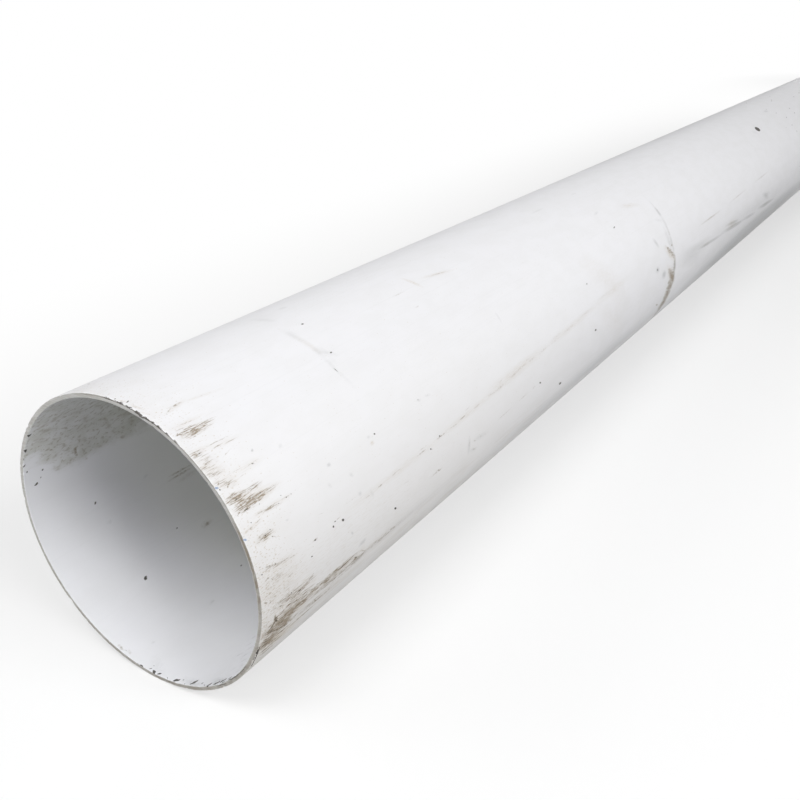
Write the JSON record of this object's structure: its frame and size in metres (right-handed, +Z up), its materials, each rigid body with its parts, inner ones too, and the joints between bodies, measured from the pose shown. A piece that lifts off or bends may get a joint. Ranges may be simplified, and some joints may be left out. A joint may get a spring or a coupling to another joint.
{
  "type": "pvc downpipe",
  "caption": "Straight round thin-walled downpipe in white PVC-U, plain and sawn square at both ends, marked by storage and handling.",
  "frame": {"origin": "under the middle of the pipe, on the level surface that it lies on", "axes": "+X along the pipe, +Y across it and +Z up, from the surface it lies on to its crown"},
  "size_m": [3, 0.1596, 0.16],
  "materials": {
    "white_pvc": "satin"
  },
  "bodies": {
    "root": {"downpipe": "white_pvc"}
  },
  "joints": []
}
